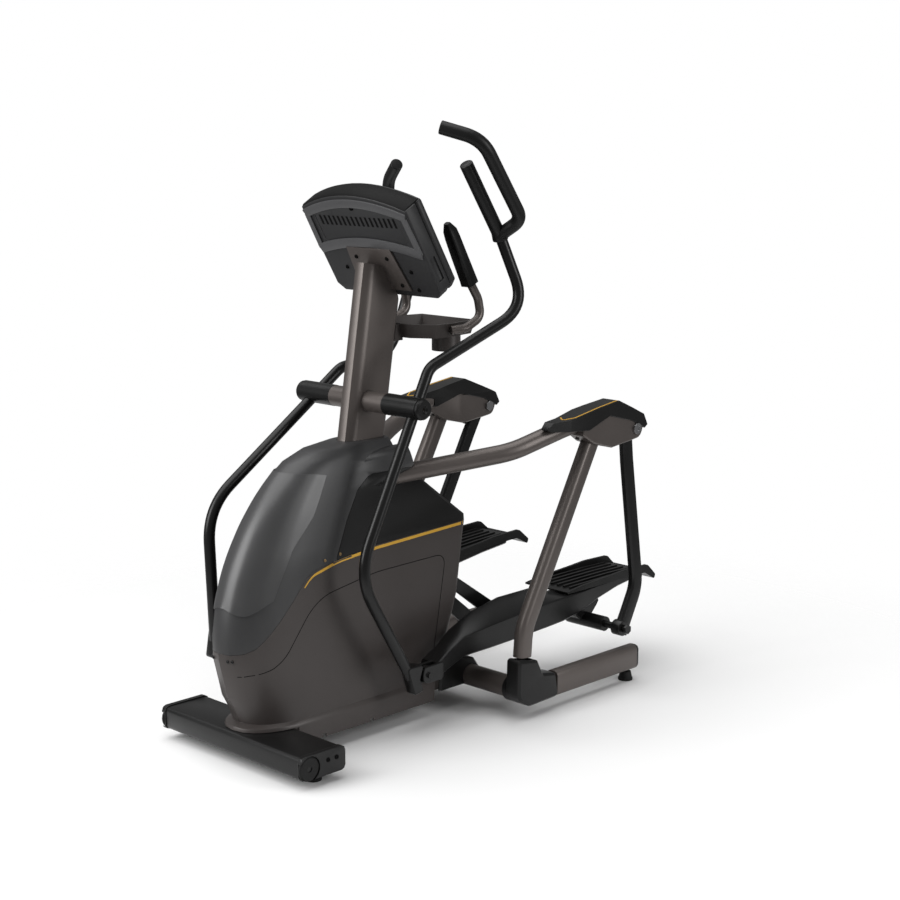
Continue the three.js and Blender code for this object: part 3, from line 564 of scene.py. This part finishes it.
# %% Nose shield
SHIELD_EDGE = [
    (0.430, -0.712), (0.458, -0.700), (0.518, -0.671), (0.587, -0.631), (0.668, -0.552), (0.782, -0.484)
]
SHIELD_TOP = 0.779
SHIELD_LOW = 0.442
COLUMNS = 48
ROWS = 30


def between(table, value):
    """Straight-line look-up in a rising table."""
    value = min(max(value, table[0][0]), table[-1][0])
    for (a, fa), (b, fb) in zip(table, table[1:]):
        if value <= b:
            return fa + (fb - fa) * (value - a) / (b - a)
    return table[-1][1]


def eased(grid, wide):
    """Each inner point of a grid moved halfway to the mean of its neighbours; the edge points stay."""
    out = list(grid)
    for i in range(wide, len(grid) - wide):
        if 0 < i % wide < wide - 1:
            out[i] = grid[i] / 2 + (grid[i - 1] + grid[i + 1] + grid[i - wide] + grid[i + wide]) / 8
    return out


def nose_shield(tree, lift, sink):
    outer, inner = [], []
    for row in range(ROWS + 1):
        for column in range(COLUMNS + 1):
            turned = math.pi / 2 * (2 * column / COLUMNS - 1)
            aside = abs(turned) / (math.pi / 2)
            low = SHIELD_LOW - 0.018 * math.sin(2 * abs(turned)) ** 2 + 0.016 * aside**4
            top = SHIELD_TOP - 0.010 * aside**2
            z = low + (top - low) * row / ROWS
            way = Vector((math.sin(turned), -math.cos(turned), 0))
            axis = Vector((0, between(SHIELD_EDGE, z), z))
            hit, normal, _, _ = tree.ray_cast(axis + way * 0.6, -way)
            if normal.dot(way) < 0:
                normal = -normal
            outer.append(hit + normal * lift)
            inner.append(hit - normal * sink)
    wide = COLUMNS + 1
    count = len(outer)
    for _ in range(8):
        outer, inner = eased(outer, wide), eased(inner, wide)
    faces = []
    for row in range(ROWS):
        for column in range(COLUMNS):
            a = row * wide + column
            faces.append((a, a + 1, a + wide + 1, a + wide))
            faces.append((a + count, a + wide + count, a + wide + 1 + count, a + 1 + count))
    rim = [c for c in range(wide)]
    rim += [r * wide + COLUMNS for r in range(1, ROWS + 1)]
    rim += [ROWS * wide + c for c in range(COLUMNS - 1, -1, -1)]
    rim += [r * wide for r in range(ROWS - 1, 0, -1)]
    for a, b in zip(rim, rim[1:] + rim[:1]):
        faces.append((b, a, a + count, b + count))
    return outer + inner, faces


shroud_skin = surface("front_shroud")
shield_skin = nose_shield(shroud_skin, 0.0034, 0.0015)
shield = build("nose_shield", *shield_skin, SHIELD, "frame", None, "shroud_plastic")
print("shield", len(shield.data.vertices), "points")

# %% [markdown]
# ## Console back
# The back of the console carries two raised arched bands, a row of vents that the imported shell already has,
# and a black cap along its top. The console's own flat frame, tipped back, makes them easy to place.

# %% Console frame
CONSOLE_TIP = math.radians(-59.1)
CONSOLE = (
    Matrix.Translation((0, -0.138 + Y_SHIFT, 1.358))
    @ Matrix.Rotation(CONSOLE_TIP, 4, "X")
    @ Matrix.Rotation(math.pi, 4, "Z")
)
CONSOLE_HALF = 0.212


def arched(half, middle, end, width, w_near, w_far, count=24):
    """A raised arched band: its centre line's height at the middle and ends, its width and its two depths."""
    section = [(-1, 0.25), (-0.8, 0), (0.8, 0), (1, 0.25), (1, 1), (-1, 1)]
    points, faces = [], []
    for i in range(count + 1):
        x = half * (2 * i / count - 1)
        v = middle + (end - middle) * (x / half) ** 2
        slope = 2 * (end - middle) * x / half**2
        normal = Vector((-slope, 1)).normalized()
        for share, deep in section:
            shift = share * width / 2
            points.append((x + normal[0] * shift, v + normal[1] * shift, w_near + (w_far - w_near) * deep))
    n = len(section)
    for i in range(count):
        for j in range(n):
            a, b = i * n + j, i * n + (j + 1) % n
            faces.append((a, a + n, b + n, b))
    faces += [tuple(range(n)), tuple(range(len(points) - 1, len(points) - n - 1, -1))]
    return points, faces


for name, half, middle, end, width in (
    ("console_band_upper", 0.203, 0.158, 0.118, 0.026),
    ("console_band_lower", 0.206, 0.030, 0.000, 0.030),
):
    build(name, *arched(half, middle, end, width, -0.0042, 0.0004), BAND, "frame", CONSOLE, "console_plastic")


# The bands run into two upright strips, so the vents sit inside a mid grey frame.
strip_outline = [(-0.010, -0.0022), (0.010, -0.0022), (0.010, 0.0022), (-0.010, 0.0022)]
for side, sign in (("left", -1), ("right", 1)):
    strip = [Vector((sign * 0.195, 0.116, -0.0018)), Vector((sign * 0.199, 0.002, -0.0018))]
    build(f"console_strip_{side}", *sweep(strip, strip_outline), BAND, "frame", CONSOLE, "console_plastic")

# Near-black louvres close the row of vents just below the surface; their black is painted shade for the dark
# inside of the vents.
VENT_PITCH = 0.0185
louvre_outline = [(-0.0038, -0.0008), (0.0038, -0.0008), (0.0038, 0.0008), (-0.0038, 0.0008)]
louvres = []
for i in range(-8, 9):
    x = i * VENT_PITCH
    louvres.append(sweep([Vector((x, 0.083, 0.0018)), Vector((x, 0.113, 0.0018))], louvre_outline))
build("vent_shade_louvres", *joined(*louvres), GAP, "frame", CONSOLE, "black_plastic")


CAP_SECTION = [
    (0.0, -0.009), (0.004, 0.0), (0.009, 0.003), (0.058, 0.003), (0.063, 0.0), (0.063, -0.004),
    (0.006, -0.012),
]


def top_cap(count=24):
    """A thin arched strip along the console's upper edge."""
    points, faces = [], []
    for i in range(count + 1):
        x = (CONSOLE_HALF - 0.004) * (2 * i / count - 1)
        v = 0.138 + 0.044 * (1 - (x / CONSOLE_HALF) ** 2)
        points += [(x, v + lift, w) for w, lift in CAP_SECTION]
    n = len(CAP_SECTION)
    for i in range(count):
        for j in range(n):
            a, b = i * n + j, i * n + (j + 1) % n
            faces.append((a, b, b + n, a + n))
    faces += [tuple(range(n - 1, -1, -1)), tuple(range(len(points) - n, len(points)))]
    return points, faces


build("console_top_cap", *top_cap(), CAP, "frame", CONSOLE, "black_plastic")
print("console bands and cap")

# %% [markdown]
# ## Screws
# Button-head screws close the housings and the console. One small turned profile with a socket is placed many
# times: a matrix takes its +Z to the way out of the surface.


# %% A screw
def button(radius, height, sides=20):
    """A domed head with a sunk socket, standing on z = 0 with its foot a little below."""
    profile = [
        (radius, -0.0008), (radius, height * 0.4), (radius * 0.8, height * 0.85), (radius * 0.55, height),
        (radius * 0.42, height), (radius * 0.38, height * 0.45),
    ]
    points, faces = [], []
    for r, h in profile:
        points += [(x, y, h) for x, y in circle(r, sides)]
    for k in range(len(profile) - 1):
        for j in range(sides):
            a, b = k * sides + j, k * sides + (j + 1) % sides
            faces.append((a, b, b + sides, a + sides))
    faces += [tuple(range(sides - 1, -1, -1)), tuple(range(len(points) - sides, len(points)))]
    return points, faces


def screw(name, at, out, radius, look, slot, body="frame", place=None):
    matrix = Matrix.Translation(at) @ Vector(out).to_track_quat("Z", "Y").to_matrix().to_4x4()
    if place is not None:
        matrix = place @ matrix
    return build(name, *button(radius, radius * 0.6), look, body, matrix, slot)


BRONZE = finish("bronze screw", (0.30, 0.20, 0.10), 0.35, 0.9, 900, 0.02)
for side, sign in (("left", 1), ("right", -1)):
    upper_skin = surface("front_shroud", "rear_top_cover")
    for i, (y, z) in enumerate(((-0.526, 0.541), (-0.470, 0.5495))):
        hit = upper_skin.ray_cast(Vector((sign * 0.5, y, z)), Vector((-sign, 0, 0)))[0]
        screw(f"cover_screw_{side}_{i}", hit, (sign, 0, 0), 0.0045, BRONZE, "bolt_chrome")
for i, (x, z) in enumerate(((0.030, 0.301), (0.041, 0.301))):
    for side, sign in (("left", 1), ("right", -1)):
        hit = surface(f"side_cover_{side}").ray_cast(Vector((sign * x, -1.2, z)), Vector((0, 1, 0)))[0]
        screw(f"nose_screw_{side}_{i}", hit, (0, -1, 0), 0.0048, FINISH["black_plastic"], "black_plastic")
console_screws = [
    (0.188, 0.126), (-0.188, 0.126), (0, 0.141), (0.13, -0.06), (-0.13, -0.06), (0.13, -0.12), (-0.13, -0.12)
]
plate_screws = [(0.062, -0.016), (-0.062, -0.016), (0.078, -0.104), (-0.078, -0.104)]
for i, (x, v) in enumerate(console_screws):
    screw(f"console_screw_{i}", (x, v, -0.0002), (0, 0, -1), 0.0062, GAP, "black_plastic", "frame", CONSOLE)
for i, (x, v) in enumerate(plate_screws):
    screw(f"mount_screw_{i}", (x, v, -0.0064), (0, 0, -1), 0.0062, GAP, "black_plastic", "frame", CONSOLE)
for side, place in PLACES.items():
    for i, (y, z) in enumerate(((-0.585, 0.068), (-0.555, 0.068))):
        screw(
            f"cap_bolt_{side}_{i}", (0.2995, y + Y_SHIFT, z), (1, 0, 0), 0.0065, GAP, "black_plastic",
            "frame", place["frame"],
        )
    for i, (x, y, z) in enumerate(((0.300, 0.406, 0.7965), (0.2715, 0.520, 0.7608))):
        screw(
            f"bracket_bolt_{side}_{i}", (x, y + Y_SHIFT, z), (0, -0.3, -1), 0.0065, FINISH["black_plastic"],
            "black_plastic", "frame", place["frame"],
        )
print("screws placed")

# %% [markdown]
# ## Bracket covers
# A thin gold outline runs along the front and the outer edge of each bracket cover, on its top face. It is
# laid from above the same way as the side accents.


# %% Gold outline on the bracket covers
def laid_from_above(tree, line, width, lift=0.0007, sink=0.0015):
    points, faces = [], []
    for i, p in enumerate(line):
        along = (line[min(i + 1, len(line) - 1)] - line[max(i - 1, 0)]).normalized()
        across = Vector((-along.y, along.x, 0)) * width / 2
        for sign in (-1, 1):
            at = p + across * sign
            hit = tree.ray_cast(Vector((at.x, at.y, 1.3)), Vector((0, 0, -1)))[0]
            z = hit.z if hit else points[-2].z - lift
            points += [Vector((at.x, at.y, z + lift)), Vector((at.x, at.y, z - sink))]
    for i in range(len(line) - 1):
        a = 4 * i
        faces += [(a, a + 2, a + 6, a + 4), (a + 1, a + 5, a + 7, a + 3)]
        faces += [(a, a + 4, a + 5, a + 1), (a + 2, a + 3, a + 7, a + 6)]
    last = len(points) - 4
    faces += [(0, 1, 3, 2), (last, last + 2, last + 3, last + 1)]
    return points, faces


for side, sign in (("left", 1), ("right", -1)):
    outline = path(
        [
            (sign * 0.300, 0.330 + Y_SHIFT, 0),
            (sign * 0.322, 0.312 + Y_SHIFT, 0),
            (sign * 0.3425, 0.345 + Y_SHIFT, 0),
            (sign * 0.3425, 0.536 + Y_SHIFT, 0),
        ],
        0.008,
    )
    dense = [a.lerp(b, k / 12) for a, b in zip(outline, outline[1:]) for k in range(12)] + [outline[-1]]
    build(
        f"cover_outline_{side}", *laid_from_above(surface(f"bracket_cover_{side}"), dense, 0.0045),
        GOLD, "frame", None, "black_plastic",
    )
print("gold outlines")

# %% [markdown]
# ## Studio
# A wide pale floor meets a white sky, so the machine stands in a plain catalogue picture. The sky looks white
# but lights little: dark finishes need dark surroundings, and a broad soft sun does most of the lighting.
# Two tall soft boxes put long highlights on the tubes and the shield.

# %% Floor
FLOOR_HALF = 4.0
FADE_FROM, FADE_TO = 0.9, 2.3
floor_mesh = bpy.data.meshes.new("floor")
floor_mesh.from_pydata(
    [(x * FLOOR_HALF, y * FLOOR_HALF, 0) for x, y in ((-1, -1), (1, -1), (1, 1), (-1, 1))], [], [(0, 1, 2, 3)]
)
floor = bpy.data.objects.new("floor", floor_mesh)
bpy.context.scene.collection.objects.link(floor)
floor_paint = bpy.data.materials.new("pale floor")
floor_paint.use_nodes = True
floor_tree = floor_paint.node_tree
paint = floor_tree.nodes["Principled BSDF"]
paint.inputs["Base Color"].default_value = (0.80, 0.80, 0.80, 1)
paint.inputs["Roughness"].default_value = 0.8
paint.inputs["Specular IOR Level"].default_value = 0.1
# The floor fades into the white sky with the distance from the machine, so it stays greyer near the machine: a
# painted wide shadow pool, around the real shadows that the lamps cast there.
where = floor_tree.nodes.new("ShaderNodeTexCoord")
reach = floor_tree.nodes.new("ShaderNodeVectorMath")
reach.operation = "LENGTH"
floor_tree.links.new(where.outputs["Object"], reach.inputs[0])
shade_pool_fade = floor_tree.nodes.new("ShaderNodeMapRange")
shade_pool_fade.interpolation_type = "SMOOTHSTEP"
shade_pool_fade.inputs["From Min"].default_value = FADE_FROM
shade_pool_fade.inputs["From Max"].default_value = FADE_TO
floor_tree.links.new(reach.outputs["Value"], shade_pool_fade.inputs["Value"])
clear = floor_tree.nodes.new("ShaderNodeBsdfTransparent")
blend = floor_tree.nodes.new("ShaderNodeMixShader")
floor_tree.links.new(shade_pool_fade.outputs["Result"], blend.inputs["Fac"])
floor_tree.links.new(paint.outputs["BSDF"], blend.inputs[1])
floor_tree.links.new(clear.outputs["BSDF"], blend.inputs[2])
floor_tree.links.new(blend.outputs["Shader"], floor_tree.nodes["Material Output"].inputs["Surface"])
floor_mesh.materials.append(floor_paint)

# %% Sky and lights
SKY_SEEN = 1.0
SKY_LIGHT = 0.22
world = bpy.data.worlds.new("studio")
bpy.context.scene.world = world
world.use_nodes = True
sky = world.node_tree
ray = sky.nodes.new("ShaderNodeLightPath")
level = sky.nodes.new("ShaderNodeMapRange")
level.inputs["To Min"].default_value = SKY_LIGHT
level.inputs["To Max"].default_value = SKY_SEEN
sky.links.new(ray.outputs["Is Camera Ray"], level.inputs["Value"])
sky.links.new(level.outputs["Result"], sky.nodes["Background"].inputs["Strength"])
sky.nodes["Background"].inputs["Color"].default_value = (1, 1, 1, 1)


def lamp(kind, name, at, power):
    """A light that looks at the machine's middle."""
    data = bpy.data.lights.new(name, kind)
    data.energy = power
    light = bpy.data.objects.new(name, data)
    bpy.context.scene.collection.objects.link(light)
    light.location = at
    light.rotation_mode = "QUATERNION"
    light.rotation_quaternion = (Vector((0, 0, 0.8)) - Vector(at)).to_track_quat("-Z", "Y")
    return data


sun = lamp("SUN", "soft sun", (-1.0, -0.8, 6.0), 2.5)
sun.angle = math.radians(70)
for name, at, size, power in (
    ("left box", (-1.6, -4.6, 2.6), (2.6, 3.4), 170),
    ("right box", (4.6, 1.2, 2.2), (1.2, 3.2), 90),
):
    box = lamp("AREA", name, at, power)
    box.shape = "RECTANGLE"
    box.size, box.size_y = size
bpy.context.scene.view_settings.view_transform = "Standard"

# %% Update the scene
bpy.context.view_layer.update()
